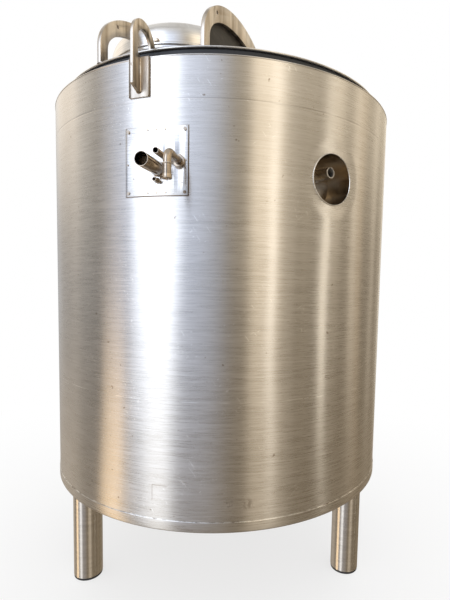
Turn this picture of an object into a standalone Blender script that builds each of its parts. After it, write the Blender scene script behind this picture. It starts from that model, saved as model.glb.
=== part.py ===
"""Insulated stainless storage tank on three legs, with a domed cover beside two arched lifting plates."""

import math

import bmesh
import bpy
from mathutils import Matrix, Vector

# Fit between separate solids, and the distance within which points of one solid are welded
GAP = 0.0003
WELD = 0.00001

# How far the cutters reach, from the tank's axis or past the plate that they cut
CUT_NEAR = 0.45
CUT_FAR = 0.80
CUT_DEPTH = 0.10
CUT_SPACE = 0.20

# Faces round the pieces that have no count of their own
HOLE_SIDES = 12
SMALL_SIDES = 24
RECESS_SIDES = 40
ROD_SIDES = 48

# Outer cladding, standing on the legs
CLAD_RADIUS = 0.640
CLAD_HEIGHT = 1.331
CLAD_SHEET = 0.003
CLAD_SIDES = 96
LEG_HEIGHT = 0.367
BASE_Z = LEG_HEIGHT
RIM_Z = BASE_Z + CLAD_HEIGHT

# Base tray that closes the cladding from below
TRAY_LIP = 0.032
TRAY_SHEET = 0.003

# Inner vessel
VESSEL_RADIUS = 0.545
VESSEL_WALL = 0.004
VESSEL_DISH = 0.110
VESSEL_FOOT_Z = BASE_Z + 0.150
VESSEL_SIDES = 60
DISH_STEPS = 6
SKIRT_INSET = 0.060
SKIRT_WALL = 0.006

# Cover ring between the vessel and the cladding, the dark seal and the lid on it
COVER_SINK = 0.012
COVER_PLATE = 0.004
COVER_INNER = 0.505
SEAL_RADIUS = 0.600
SEAL_WIDTH = 0.020
SEAL_RISE = 0.034
LID_RADIUS = 0.606
LID_PLATE = 0.005
LID_TOP = RIM_Z + SEAL_RISE + GAP + LID_PLATE

# Manway on the lid: a round neck, a flange ring and a domed cover
DOME_X = -0.157
DOME_Y = -0.128
DOME_RADIUS = 0.262
DOME_RISE = 0.112
DOME_SHELL = 0.004
DOME_POWER = 3.0
DOME_SIDES = 56
DOME_STEPS = 9
NECK_RADIUS = 0.250
NECK_WALL = 0.004
FLANGE_TOP = RIM_Z + 0.155
FLANGE_RADIUS = 0.268
FLANGE_PLATE = 0.020

# Arched lifting plates: each stands off the dome's centre, to its right and towards the front
ARCH_AZIMUTH = math.radians(-25.8)
ARCH_PLACES = {"left": (-0.047, 0.144), "right": (0.2775, 0.101)}
ARCH_HALF = 0.265
ARCH_CROWN = 0.155
ARCH_STRAIGHT = 0.051
ARCH_LIMB = 0.033
ARCH_BAND = 0.052
ARCH_PLATE = 0.012
ARCH_HOLE = 0.005
ARCH_HOLE_EDGE = 0.018
ARCH_HOLE_TURN = math.radians(41.0)
ARCH_OUTER_STEPS = 26
ARCH_INNER_STEPS = 22

# Thin dark web that closes the right plate from behind
WEB_LAP = 0.008
WEB_PLATE = 0.002

# Staple-shaped lifting lugs over the rim, with their pads on the cladding
LUG_AZIMUTH = math.radians(-21.5)
STAPLE_HALF = 0.058
STAPLE_RISE = 0.104
STAPLE_BAND = 0.026
STAPLE_PLATE = 0.009
STAPLE_STAND = 0.036
STAPLE_DROP = 0.082
STAPLE_CHAMFER = 0.015
STAPLE_SHOULDER = 0.004
STAPLE_OUTER_STEPS = 24
STAPLE_INNER_STEPS = 18
PAD_WIDTH = 0.061
PAD_DROP = 0.106
PAD_PLATE = 0.004

# Square connection panel and its pipes
PANEL_AZIMUTH = math.radians(-17.1)
PANEL_SIDE = 0.187
PANEL_PLATE = 0.002
PANEL_OPENING = 0.164
PANEL_Z = RIM_Z - 0.279
PIPE_ROOT = CLAD_RADIUS - 0.030
PIPE_SIDES = 20
PIPE_ROUNDNESS = 3
FILL_RADIUS = 0.019
FILL_REACH = 0.105
FILL_AZIMUTH = math.radians(-16.3)
FILL_Z = RIM_Z - 0.300
SAMPLE_RADIUS = 0.0085
SAMPLE_REACH = 0.072
SAMPLE_AZIMUTH = math.radians(-14.4)
SAMPLE_Z = RIM_Z - 0.271
DRAIN_RADIUS = 0.006
DRAIN_REACH = 0.022
DRAIN_AZIMUTH = math.radians(-16.6)
DRAIN_Z = RIM_Z - 0.331
PIPE_WALL = 0.0015
ELBOW_RADIUS = 0.0105
ELBOW_REACH = 0.104
ELBOW_BEND = 0.024
ELBOW_STEPS = 8
ELBOW_FALL = 0.071
ELBOW_AZIMUTH = math.radians(-11.0)
ELBOW_Z = RIM_Z - 0.281
COLLAR_RADIUS = 0.017
COLLAR_LENGTH = 0.010
FERRULE_RADIUS = 0.0128
FERRULE_LENGTH = 0.012

# Round recess with a small nozzle
RECESS_AZIMUTH = math.radians(30.2)
RECESS_RADIUS = 0.076
RECESS_WALL = 0.002
RECESS_SPARE = 0.010
RECESS_Z = RIM_Z - 0.297
NOZZLE_AZIMUTH = math.radians(32.2)
NOZZLE_RADIUS = 0.017
NOZZLE_WALL = 0.0035
NOZZLE_END = 0.608
NOZZLE_Z = RIM_Z - 0.267

# Legs on a circle, their top plates and rubber feet
LEG_AZIMUTHS = {"left": -61.0, "right": 61.0, "rear": 180.0}
LEG_CIRCLE = 0.555
LEG_RADIUS = 0.0508
LEG_WALL = 0.003
LEG_SIDES = 28
LEG_PLATE_RADIUS = 0.070
LEG_PLATE = 0.006
FOOT_HEIGHT = 0.008
FOOT_INSET = 0.001

# The origin is the middle of the whole footprint, so the tank's axis lies behind it
FRONT_REACH = (CLAD_RADIUS + ELBOW_REACH) * math.cos(ELBOW_AZIMUTH) + FERRULE_RADIUS
REAR_REACH = CLAD_RADIUS + GAP + TRAY_SHEET / 2
AXIS_Y = (FRONT_REACH - REAR_REACH) / 2

STEEL = ("brushed_steel", (0.62, 0.59, 0.55), 0.32, 1.0)
POLISHED = ("polished_steel", (0.66, 0.64, 0.61), 0.20, 1.0)
LUG_STEEL = ("lug_steel", (0.60, 0.54, 0.46), 0.30, 1.0)
DARK_STEEL = ("dark_steel", (0.045, 0.036, 0.028), 0.40, 0.6)
RUBBER = ("black_rubber", (0.02, 0.02, 0.022), 0.75, 0.0)


def clear_scene():
    for obj in list(bpy.data.objects):
        bpy.data.objects.remove(obj, do_unlink=True)


def new_collection(name):
    collection = bpy.data.collections.new(name)
    bpy.context.scene.collection.children.link(collection)
    return collection


def material(finish):
    name, colour, roughness, metallic = finish
    made = bpy.data.materials.get(name)
    if made is None:
        made = bpy.data.materials.new(name)
        made.use_nodes = True
        shader = made.node_tree.nodes["Principled BSDF"]
        shader.inputs["Base Color"].default_value = (*colour, 1.0)
        shader.inputs["Roughness"].default_value = roughness
        shader.inputs["Metallic"].default_value = metallic
    return made


def place(obj, name, finish, collection):
    """Names an object, gives it its finish and moves it into its collection."""
    obj.name = name
    obj.data.name = name
    obj.data.materials.clear()
    obj.data.materials.append(material(finish))
    for old in list(obj.users_collection):
        old.objects.unlink(obj)
    collection.objects.link(obj)
    return obj


def outward(azimuth, distance=1.0):
    """The point at a distance from the axis, where azimuth 0 is the front, at -Y."""
    return Vector((math.sin(azimuth) * distance, -math.cos(azimuth) * distance, 0.0))


def turned(name, profile, finish, collection, closed=True, sides=CLAD_SIDES):
    """A profile of (radius, height) points, outer side downwards, turned round the Z axis."""
    mesh = bpy.data.meshes.new(name)
    points = [(r, 0.0, z) for r, z in profile]
    edges = [(i, i + 1) for i in range(len(points) - 1)]
    if closed:
        edges.append((len(points) - 1, 0))
    mesh.from_pydata(points, edges, [])
    obj = bpy.data.objects.new(name, mesh)
    place(obj, name, finish, collection)
    screw = obj.modifiers.new("Turn", "SCREW")
    screw.steps = sides
    screw.render_steps = sides
    screw.use_merge_vertices = True
    screw.merge_threshold = 0.0001
    return obj


def ring(name, outer, inner, low, high, finish, collection, sides=CLAD_SIDES):
    profile = [(outer, high), (outer, low), (inner, low), (inner, high)]
    return turned(name, profile, finish, collection, sides=sides)


def cutter_of(obj, cutters):
    """Makes an object a helper that is left out of the object."""
    for old in list(obj.users_collection):
        old.objects.unlink(obj)
    cutters.objects.link(obj)
    obj.hide_render = True
    obj.display_type = "WIRE"
    return obj


def combine(obj, other, operation):
    boolean = obj.modifiers.new(operation.title(), "BOOLEAN")
    boolean.operation = operation
    boolean.object = other
    return obj


def box(size, location, turn, cutters):
    bpy.ops.mesh.primitive_cube_add(size=1.0, location=location, rotation=(0, 0, turn))
    obj = bpy.context.object
    obj.scale = size
    return cutter_of(obj, cutters)


def rod(radius, azimuth, z, cutters, sides=ROD_SIDES):
    """A round radial cutter that passes through the vessel's wall and the cladding."""
    middle = outward(azimuth, (CUT_NEAR + CUT_FAR) / 2) + Vector((0, 0, z))
    bpy.ops.mesh.primitive_cylinder_add(
        vertices=sides, radius=radius, depth=CUT_FAR - CUT_NEAR, location=middle,
        rotation=(math.pi / 2, 0, azimuth),
    )
    return cutter_of(bpy.context.object, cutters)


def radial_tube(name, radius, wall, azimuth, near, far, z, finish, collection, sides=SMALL_SIDES):
    """A straight pipe that points away from the axis."""
    length = far - near
    obj = turned(
        name,
        [(radius, length), (radius, 0), (radius - wall, 0), (radius - wall, length)],
        finish, collection, sides=sides,
    )
    obj.location = outward(azimuth, near) + Vector((0, 0, z))
    obj.rotation_euler = (math.pi / 2, 0, azimuth)
    return obj


def mesh_from(curve, name):
    """The mesh of a curve, with its caps welded on."""
    guide = bpy.data.objects.new(name, curve)
    bpy.context.scene.collection.objects.link(guide)
    graph = bpy.context.evaluated_depsgraph_get()
    mesh = bpy.data.meshes.new_from_object(guide.evaluated_get(graph))
    bpy.data.objects.remove(guide)
    shape = bmesh.new()
    shape.from_mesh(mesh)
    bmesh.ops.remove_doubles(shape, verts=shape.verts, dist=WELD)
    bmesh.ops.recalc_face_normals(shape, faces=shape.faces)
    shape.to_mesh(mesh)
    shape.free()
    return mesh


def flat_plate(name, outline, thickness, finish, collection):
    """A flat plate cut from sheet along one outline."""
    curve = bpy.data.curves.new(name, "CURVE")
    curve.dimensions = "2D"
    curve.fill_mode = "BOTH"
    curve.extrude = thickness / 2
    spline = curve.splines.new("POLY")
    spline.points.add(len(outline) - 1)
    for point, (x, y) in zip(spline.points, outline):
        point.co = (x, y, 0.0, 1.0)
    spline.use_cyclic_u = True
    return place(bpy.data.objects.new(name, mesh_from(curve, name)), name, finish, collection)


def stand(obj, centre, azimuth):
    """Stands a flat plate on edge, its own +X pointing away from the axis at that azimuth."""
    obj.location = centre
    obj.rotation_euler = (math.pi / 2, 0, azimuth - math.pi / 2)
    return obj


def arc(centre_x, centre_y, radius_x, radius_y, start, end, count):
    return [
        (
            centre_x + radius_x * math.cos(math.radians(start + (end - start) * i / count)),
            centre_y + radius_y * math.sin(math.radians(start + (end - start) * i / count)),
        )
        for i in range(count + 1)
    ]


def build_cladding(parts, cutters):
    shell = ring(
        "cladding", CLAD_RADIUS, CLAD_RADIUS - CLAD_SHEET, BASE_Z + GAP + TRAY_SHEET, RIM_Z,
        STEEL, parts,
    )
    combine(shell, rod(RECESS_RADIUS, RECESS_AZIMUTH, RECESS_Z, cutters), "DIFFERENCE")
    opening = box(
        (PANEL_OPENING, CUT_SPACE, PANEL_OPENING),
        outward(PANEL_AZIMUTH, CLAD_RADIUS) + Vector((0, 0, PANEL_Z)), PANEL_AZIMUTH, cutters,
    )
    combine(shell, opening, "DIFFERENCE")


def build_base(parts):
    """A flat tray whose lip stands up outside the cladding, so that the seam shows."""
    lip_in = CLAD_RADIUS + GAP
    lip_out = lip_in + TRAY_SHEET / 2
    turned(
        "base_tray",
        [
            (lip_in, BASE_Z + TRAY_LIP), (lip_out, BASE_Z + TRAY_LIP), (lip_out, BASE_Z),
            (0.0, BASE_Z), (0.0, BASE_Z + TRAY_SHEET), (lip_in, BASE_Z + TRAY_SHEET),
        ],
        STEEL, parts,
    )


def dish(radius, depth):
    """A quarter ellipse from the rim of a dished bottom down to its centre."""
    curve = arc(0, 0, radius, depth, 0, 90, DISH_STEPS)[:-1]
    return [(x, VESSEL_FOOT_Z - y) for x, y in curve] + [(0.0, VESSEL_FOOT_Z - depth)]


def build_vessel(parts, cutters):
    top = RIM_Z - COVER_SINK - COVER_PLATE - GAP
    wall = ring(
        "vessel_wall", VESSEL_RADIUS, VESSEL_RADIUS - VESSEL_WALL, VESSEL_FOOT_Z + GAP, top,
        POLISHED, parts, sides=VESSEL_SIDES,
    )
    bore = rod(NOZZLE_RADIUS - NOZZLE_WALL, NOZZLE_AZIMUTH, NOZZLE_Z, cutters, PIPE_SIDES)
    combine(wall, bore, "DIFFERENCE")
    outer = dish(VESSEL_RADIUS, VESSEL_DISH)
    inner = dish(VESSEL_RADIUS - VESSEL_WALL, VESSEL_DISH - VESSEL_WALL)
    turned("vessel_bottom", outer + inner[::-1], POLISHED, parts, sides=VESSEL_SIDES)
    ring(
        "vessel_skirt", VESSEL_RADIUS - SKIRT_INSET, VESSEL_RADIUS - SKIRT_INSET - SKIRT_WALL,
        BASE_Z + TRAY_SHEET + GAP, VESSEL_FOOT_Z - VESSEL_DISH, STEEL, parts, sides=VESSEL_SIDES,
    )


def build_top(parts, cutters):
    cover_top = RIM_Z - COVER_SINK
    ring(
        "cover_ring", CLAD_RADIUS - CLAD_SHEET - GAP, COVER_INNER, cover_top - COVER_PLATE, cover_top,
        STEEL, parts,
    )
    ring(
        "seal_band", SEAL_RADIUS, SEAL_RADIUS - SEAL_WIDTH, cover_top + GAP, RIM_Z + SEAL_RISE,
        RUBBER, parts,
    )
    lid_low = LID_TOP - LID_PLATE
    profile = [(0.0, LID_TOP), (LID_RADIUS, LID_TOP), (LID_RADIUS, lid_low), (0.0, lid_low)]
    lid = turned("lid_plate", profile, POLISHED, parts, closed=False)
    bpy.ops.mesh.primitive_cylinder_add(
        vertices=DOME_SIDES, radius=NECK_RADIUS - NECK_WALL, depth=CUT_DEPTH,
        location=(DOME_X, DOME_Y, LID_TOP),
    )
    combine(lid, cutter_of(bpy.context.object, cutters), "DIFFERENCE")


def dome_profile(radius, rise, base):
    """From the crown of the domed cover to its foot, as a quarter of a superellipse."""
    points = [(0.0, base + rise)]
    for step in range(1, DOME_STEPS):
        t = math.radians(90 - step * 90 / DOME_STEPS)
        across = radius * math.cos(t) ** (2 / DOME_POWER)
        points.append((across, base + rise * math.sin(t) ** (2 / DOME_POWER)))
    points.append((radius, base))
    return points


def build_dome(parts):
    flange_low = FLANGE_TOP - FLANGE_PLATE
    base = FLANGE_TOP + GAP
    outer = dome_profile(DOME_RADIUS, DOME_RISE, base)
    inner = dome_profile(DOME_RADIUS - DOME_SHELL, DOME_RISE - DOME_SHELL, base)
    pieces = (
        ring("manway_neck", NECK_RADIUS, NECK_RADIUS - NECK_WALL, LID_TOP + GAP, flange_low - GAP,
             POLISHED, parts, sides=DOME_SIDES),
        ring("manway_flange", FLANGE_RADIUS, NECK_RADIUS - NECK_WALL, flange_low, FLANGE_TOP,
             POLISHED, parts, sides=DOME_SIDES),
        turned("manway_dome", outer + inner[::-1], POLISHED, parts, closed=False, sides=DOME_SIDES),
    )
    for piece in pieces:
        piece.location = (DOME_X, DOME_Y, 0.0)


def arch_outline(half, crown, steps):
    """A half ellipse on two straight limbs."""
    return [(half, 0.0), *arc(0, ARCH_STRAIGHT, half, crown, 0, 180, steps), (-half, 0.0)]


def build_arches(parts, cutters):
    """Two equal plates: the right one stands clear of the dome and the left one is coped to it."""
    inner_half = ARCH_HALF - ARCH_LIMB
    inner_crown = ARCH_CROWN - ARCH_BAND
    outline = arch_outline(ARCH_HALF, ARCH_CROWN, ARCH_OUTER_STEPS)
    outline += arch_outline(inner_half, inner_crown, ARCH_INNER_STEPS)[::-1]
    front = outward(ARCH_AZIMUTH)
    right = Matrix.Rotation(math.pi / 2, 3, "Z") @ front
    foot_z = LID_TOP + GAP
    hole_out = (ARCH_HALF - ARCH_HOLE_EDGE) * math.cos(ARCH_HOLE_TURN)
    hole_up = ARCH_STRAIGHT + (ARCH_CROWN - ARCH_HOLE_EDGE) * math.sin(ARCH_HOLE_TURN)
    for side, (across, forward) in ARCH_PLACES.items():
        plate = flat_plate("arch_" + side, outline, ARCH_PLATE, LUG_STEEL, parts)
        foot = Vector((DOME_X, DOME_Y, foot_z)) + right * across + front * forward
        stand(plate, foot, ARCH_AZIMUTH)
        bpy.ops.mesh.primitive_cylinder_add(
            vertices=HOLE_SIDES, radius=ARCH_HOLE, depth=CUT_DEPTH,
            location=foot + front * hole_out + Vector((0, 0, hole_up)),
            rotation=(0, math.pi / 2, ARCH_AZIMUTH),
        )
        combine(plate, cutter_of(bpy.context.object, cutters), "DIFFERENCE")
        if side == "left":
            combine(plate, dome_clearance(cutters), "DIFFERENCE")
        else:
            closed = arch_outline(inner_half + WEB_LAP, inner_crown + WEB_LAP, ARCH_INNER_STEPS)
            web = flat_plate("arch_web", closed, WEB_PLATE, DARK_STEEL, parts)
            stand(web, foot - right * ((ARCH_PLATE + WEB_PLATE) / 2 + GAP), ARCH_AZIMUTH)


def dome_clearance(cutters):
    """The dome and all below it as one solid block, a gap wider than they are."""
    profile = dome_profile(DOME_RADIUS + GAP, DOME_RISE + GAP, FLANGE_TOP)
    profile += [(DOME_RADIUS + GAP, RIM_Z), (0.0, RIM_Z)]
    block = turned("dome_clearance", profile, POLISHED, cutters, closed=False, sides=DOME_SIDES)
    block.location = (DOME_X, DOME_Y, 0.0)
    return cutter_of(block, cutters)


def curved_plate(name, azimuth, width, low, high, inner, thickness, finish, parts, cutters):
    """A plate bent to the cladding, cut from a ring with the cladding's own flats."""
    plate = ring(name, inner + thickness, inner, low, high, finish, parts)
    keep = box(
        (width, CUT_SPACE, high - low + CUT_SPACE),
        outward(azimuth, inner) + Vector((0, 0, (low + high) / 2)), azimuth, cutters,
    )
    return combine(plate, keep, "INTERSECT")


def build_staples(parts, cutters):
    """Each lug bridges the rim: its outer limb is on a pad, its inner limb on the lid."""
    pad_face = CLAD_RADIUS + GAP + PAD_PLATE
    root = pad_face + GAP
    outer_edge = root + STAPLE_STAND
    centre = outer_edge - STAPLE_HALF
    arch_z = STAPLE_RISE - STAPLE_HALF
    inner_half = STAPLE_HALF - STAPLE_BAND
    inner_foot = LID_TOP + GAP - RIM_Z
    outline = (
        [(root, STAPLE_SHOULDER), (root, -STAPLE_DROP - STAPLE_CHAMFER), (outer_edge, -STAPLE_DROP)]
        + arc(centre, arch_z, STAPLE_HALF, STAPLE_HALF, 0, 180, STAPLE_OUTER_STEPS)
        + [(centre - STAPLE_HALF, inner_foot), (centre - inner_half, inner_foot)]
        + arc(centre, arch_z, inner_half, inner_half, 180, 0, STAPLE_INNER_STEPS)
        + [(centre + inner_half, STAPLE_SHOULDER)]
    )
    for name, azimuth in (("front", LUG_AZIMUTH), ("rear", LUG_AZIMUTH + math.pi)):
        plate = flat_plate("lifting_lug_" + name, outline, STAPLE_PLATE, LUG_STEEL, parts)
        stand(plate, Vector((0, 0, RIM_Z)), azimuth)
        curved_plate(
            "lug_pad_" + name, azimuth, PAD_WIDTH, RIM_Z - PAD_DROP, RIM_Z,
            CLAD_RADIUS + GAP, PAD_PLATE, LUG_STEEL, parts, cutters,
        )


def elbow_path():
    """From the panel outwards, round a quarter bend and down."""
    turn = CLAD_RADIUS + ELBOW_REACH
    path = [(PIPE_ROOT, 0.0)]
    path += arc(turn - ELBOW_BEND, -ELBOW_BEND, ELBOW_BEND, ELBOW_BEND, 90, 0, ELBOW_STEPS)
    path.append((turn, -ELBOW_FALL))
    return path


def swept_tube(name, path, radius, azimuth, z, finish, collection):
    """A bent pipe that follows (distance, height) points in the radial plane."""
    curve = bpy.data.curves.new(name, "CURVE")
    curve.dimensions = "3D"
    curve.bevel_depth = radius - PIPE_WALL / 2
    curve.bevel_resolution = PIPE_ROUNDNESS
    spline = curve.splines.new("POLY")
    spline.points.add(len(path) - 1)
    for point, (distance, height) in zip(spline.points, path):
        point.co = (*(outward(azimuth, distance) + Vector((0, 0, z + height))), 1.0)
    obj = place(bpy.data.objects.new(name, mesh_from(curve, name)), name, finish, collection)
    solid = obj.modifiers.new("Wall", "SOLIDIFY")
    solid.thickness = PIPE_WALL
    solid.offset = 0.0
    solid.use_even_offset = True
    return obj


def build_services(parts, cutters):
    panel = curved_plate(
        "service_panel", PANEL_AZIMUTH, PANEL_SIDE, PANEL_Z - PANEL_SIDE / 2,
        PANEL_Z + PANEL_SIDE / 2, CLAD_RADIUS + GAP, PANEL_PLATE, STEEL, parts, cutters,
    )
    pipes = (
        ("fill_pipe", FILL_RADIUS, FILL_AZIMUTH, FILL_REACH, FILL_Z),
        ("sample_pipe", SAMPLE_RADIUS, SAMPLE_AZIMUTH, SAMPLE_REACH, SAMPLE_Z),
        ("drain_pipe", DRAIN_RADIUS, DRAIN_AZIMUTH, DRAIN_REACH, DRAIN_Z),
    )
    for name, radius, azimuth, reach, z in pipes:
        end = CLAD_RADIUS + reach
        radial_tube(name, radius, PIPE_WALL, azimuth, PIPE_ROOT, end, z, LUG_STEEL, parts, PIPE_SIDES)
        combine(panel, rod(radius + GAP, azimuth, z, cutters, PIPE_SIDES), "DIFFERENCE")
    swept_tube("elbow_pipe", elbow_path(), ELBOW_RADIUS, ELBOW_AZIMUTH, ELBOW_Z, LUG_STEEL, parts)
    hole = rod(ELBOW_RADIUS + GAP, ELBOW_AZIMUTH, ELBOW_Z, cutters, PIPE_SIDES)
    combine(panel, hole, "DIFFERENCE")
    collar_near = CLAD_RADIUS + 2 * GAP + PANEL_PLATE
    radial_tube(
        "elbow_collar", COLLAR_RADIUS, COLLAR_RADIUS - ELBOW_RADIUS - GAP, ELBOW_AZIMUTH,
        collar_near, collar_near + COLLAR_LENGTH, ELBOW_Z, LUG_STEEL, parts, PIPE_SIDES,
    )
    ferrule_low = ELBOW_Z - ELBOW_FALL
    ferrule = ring(
        "elbow_ferrule", FERRULE_RADIUS, ELBOW_RADIUS + GAP, ferrule_low, ferrule_low + FERRULE_LENGTH,
        LUG_STEEL, parts, sides=PIPE_SIDES,
    )
    ferrule.location = outward(ELBOW_AZIMUTH, CLAD_RADIUS + ELBOW_REACH)


def build_recess(parts, cutters):
    """A sleeve from the cladding to the vessel, and the nozzle that stands on the vessel."""
    near = VESSEL_RADIUS - RECESS_SPARE
    sleeve = radial_tube(
        "recess_sleeve", RECESS_RADIUS - GAP, RECESS_WALL, RECESS_AZIMUTH, near,
        CLAD_RADIUS + RECESS_SPARE, RECESS_Z, POLISHED, parts, RECESS_SIDES,
    )
    nozzle = radial_tube(
        "recess_nozzle", NOZZLE_RADIUS, NOZZLE_WALL, NOZZLE_AZIMUTH, near, NOZZLE_END, NOZZLE_Z,
        POLISHED, parts,
    )
    space = ring(
        "recess_space", CLAD_RADIUS, VESSEL_RADIUS + GAP, RECESS_Z - CUT_SPACE, RECESS_Z + CUT_SPACE,
        STEEL, cutters,
    )
    cutter_of(space, cutters)
    combine(sleeve, space, "INTERSECT")
    combine(nozzle, space, "INTERSECT")


def disc(name, radius, low, high, finish, collection):
    profile = [(0.0, high), (radius, high), (radius, low), (0.0, low)]
    return turned(name, profile, finish, collection, closed=False, sides=LEG_SIDES)


def build_legs(parts):
    plate_high = BASE_Z - GAP
    plate_low = plate_high - LEG_PLATE
    for name, degrees in LEG_AZIMUTHS.items():
        centre = outward(math.radians(degrees), LEG_CIRCLE)
        pieces = (
            disc("leg_plate_" + name, LEG_PLATE_RADIUS, plate_low, plate_high, STEEL, parts),
            ring(
                "leg_" + name, LEG_RADIUS, LEG_RADIUS - LEG_WALL, FOOT_HEIGHT + GAP, plate_low - GAP,
                STEEL, parts, sides=LEG_SIDES,
            ),
            disc("foot_" + name, LEG_RADIUS - FOOT_INSET, 0.0, FOOT_HEIGHT, RUBBER, parts),
        )
        for piece in pieces:
            piece.location = centre


def main():
    clear_scene()
    parts = new_collection("storage_tank")
    cutters = new_collection("cutters")
    build_cladding(parts, cutters)
    build_base(parts)
    build_vessel(parts, cutters)
    build_top(parts, cutters)
    build_dome(parts)
    build_arches(parts, cutters)
    build_staples(parts, cutters)
    build_services(parts, cutters)
    build_recess(parts, cutters)
    build_legs(parts)
    axis = bpy.data.objects.new("tank_axis", None)
    axis.location.y = AXIS_Y
    for obj in [*parts.objects, *cutters.objects]:
        obj.parent = axis
    parts.objects.link(axis)


main()
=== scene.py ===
"""The looks of a jacketed stainless storage tank on three legs, laid out as an add-on."""

import math
from collections import namedtuple

import bpy
from bpy.props import FloatProperty, FloatVectorProperty, IntProperty, PointerProperty
from mathutils import Matrix, Vector


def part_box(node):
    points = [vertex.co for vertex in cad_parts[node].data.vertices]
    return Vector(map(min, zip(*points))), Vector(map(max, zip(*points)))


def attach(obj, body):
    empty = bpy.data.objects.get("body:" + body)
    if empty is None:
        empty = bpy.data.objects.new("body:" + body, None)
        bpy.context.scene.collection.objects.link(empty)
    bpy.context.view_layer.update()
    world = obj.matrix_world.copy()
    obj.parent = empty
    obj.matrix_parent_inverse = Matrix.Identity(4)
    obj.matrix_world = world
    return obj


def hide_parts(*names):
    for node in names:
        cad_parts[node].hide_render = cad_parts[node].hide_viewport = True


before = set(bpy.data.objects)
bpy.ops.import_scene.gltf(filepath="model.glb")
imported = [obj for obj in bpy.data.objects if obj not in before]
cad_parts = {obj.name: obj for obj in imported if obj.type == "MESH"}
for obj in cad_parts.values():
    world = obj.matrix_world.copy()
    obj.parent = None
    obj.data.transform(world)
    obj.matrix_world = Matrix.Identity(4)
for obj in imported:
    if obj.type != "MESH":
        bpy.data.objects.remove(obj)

bl_info = {
    "name": "Stainless Storage Tank",
    "version": (1, 0, 0),
    "blender": (4, 5, 0),
    "location": "View3D > Sidebar > Tank",
    "description": "Models the visible pieces of a jacketed storage tank and gives them their finishes",
    "category": "Object",
}

Turned = namedtuple("Turned", "axis radius low high")


def turned(node):
    """A round node's upright axis, radius, foot and top, from its box in the frame."""
    low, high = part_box(node)
    axis = Vector(((low.x + high.x) / 2, (low.y + high.y) / 2, 0.0))
    return Turned(axis, (high.x - low.x) / 2, low.z, high.z)


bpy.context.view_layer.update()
CLAD, TRAY, COVER, SEAL, LID, NECK, FLANGE, DOME, VESSEL = (turned(node) for node in (
    "cladding", "base_tray", "cover_ring", "seal_band", "lid_plate",
    "manway_neck", "manway_flange", "manway_dome", "vessel_wall",
))
PANEL_HEIGHTS = [corner.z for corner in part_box("service_panel")]
PAD_HEIGHTS = [corner.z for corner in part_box("lug_pad_front")]
AXIS, RADIUS, RIM, BASE = CLAD.axis, CLAD.radius, CLAD.high, TRAY.low
UP = Vector((0.0, 0.0, 1.0))

# Directions round the tank, where 0 is the front and positive turns to the right
ARCH_AZIMUTH = math.radians(-25.8)
LUG_AZIMUTH = math.radians(-21.5)
PANEL_AZIMUTH = math.radians(-17.1)
RECESS_AZIMUTH = math.radians(30.2)
NOZZLE_AZIMUTH = math.radians(32.2)
ELBOW_AZIMUTH = math.radians(-11.0)
LABEL_AZIMUTH = math.radians(-15.6)
CLIP_AZIMUTH = math.radians(-14.0)
REAR = math.pi

# Sizes that the frame's boxes don't give
GAP = 0.0003
SHEET = 0.003
COVER_INNER = 0.505
SEAL_WIDTH = 0.020
NECK_WALL = 0.004
DOME_SHELL = 0.004
DOME_POWER = 3.0
DOME_STEPS = 30
ARCH_PLACES = {"left": (-0.047, 0.144), "right": (0.2775, 0.101)}
ARCH_HALF = 0.265
ARCH_CROWN = 0.155
ARCH_STRAIGHT = 0.051
ARCH_LIMB = 0.033
ARCH_BAND = 0.052
ARCH_PLATE = 0.012
ARCH_HOLE = 0.005
ARCH_HOLE_EDGE = 0.018
ARCH_HOLE_TURN = math.radians(41.0)
# Lap and thickness of the near-black sheet behind the right arch, which is painted shade
SHADE_SHEET_LAP = 0.008
SHADE_SHEET_PLATE = 0.002
STAPLE_HALF = 0.058
STAPLE_RISE = 0.104
STAPLE_BAND = 0.026
STAPLE_PLATE = 0.009
STAPLE_STAND = 0.036
STAPLE_DROP = 0.082
STAPLE_CHAMFER = 0.015
STAPLE_SHOULDER = 0.004
PAD_WIDTH = 0.061
PAD_PLATE = 0.004
PAD_FOLD = 0.0022
PANEL_SIDE = 0.187
PANEL_PLATE = 0.002
RECESS_RADIUS = 0.076
RECESS_WALL = 0.002
RECESS_Z = RIM - 0.297
NOZZLE_RADIUS = 0.017
NOZZLE_WALL = 0.0035
NOZZLE_END = 0.608
NOZZLE_Z = RIM - 0.267
VESSEL_WALL = 0.004
PIPE_WALL = 0.0015
PIPE_ROOT = RADIUS - 0.010
# Each straight pipe's radius, azimuth, reach and height
STRAIGHT_PIPES = {
    "fill_pipe": (0.019, math.radians(-16.3), 0.105, RIM - 0.300),
    "sample_pipe": (0.0085, math.radians(-14.4), 0.072, RIM - 0.271),
    "drain_pipe": (0.006, math.radians(-16.6), 0.022, RIM - 0.331),
}
ELBOW_RADIUS = 0.0105
ELBOW_REACH = 0.104
ELBOW_BEND = 0.024
ELBOW_FALL = 0.071
ELBOW_Z = RIM - 0.281
COLLAR_RADIUS = 0.017
COLLAR_LENGTH = 0.010
FERRULE_RADIUS = 0.0128
FERRULE_LENGTH = 0.012
CLIP_SIZE = (0.016, 0.020, 0.010)
UPPER_SEAM = RIM - 0.115
MERGE = 0.00001
BEAD_LIFT = 0.0006
FINE_BEAD = 0.0016
PROUD = 0.0004
CUT_REACH = 0.05
PART_STEPS = 4
EDGE_STEPS = 5
LEVEL_GRAIN = 0.25


def whole(name, text, value, least, most):
    return IntProperty(name=name, description=text, default=value, min=least, max=most)


def length(name, text, value):
    return FloatProperty(name=name, description=text, default=value, unit="LENGTH")


def colour(name, text, value):
    return FloatVectorProperty(name=name, description=text, default=value, subtype="COLOR")


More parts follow.
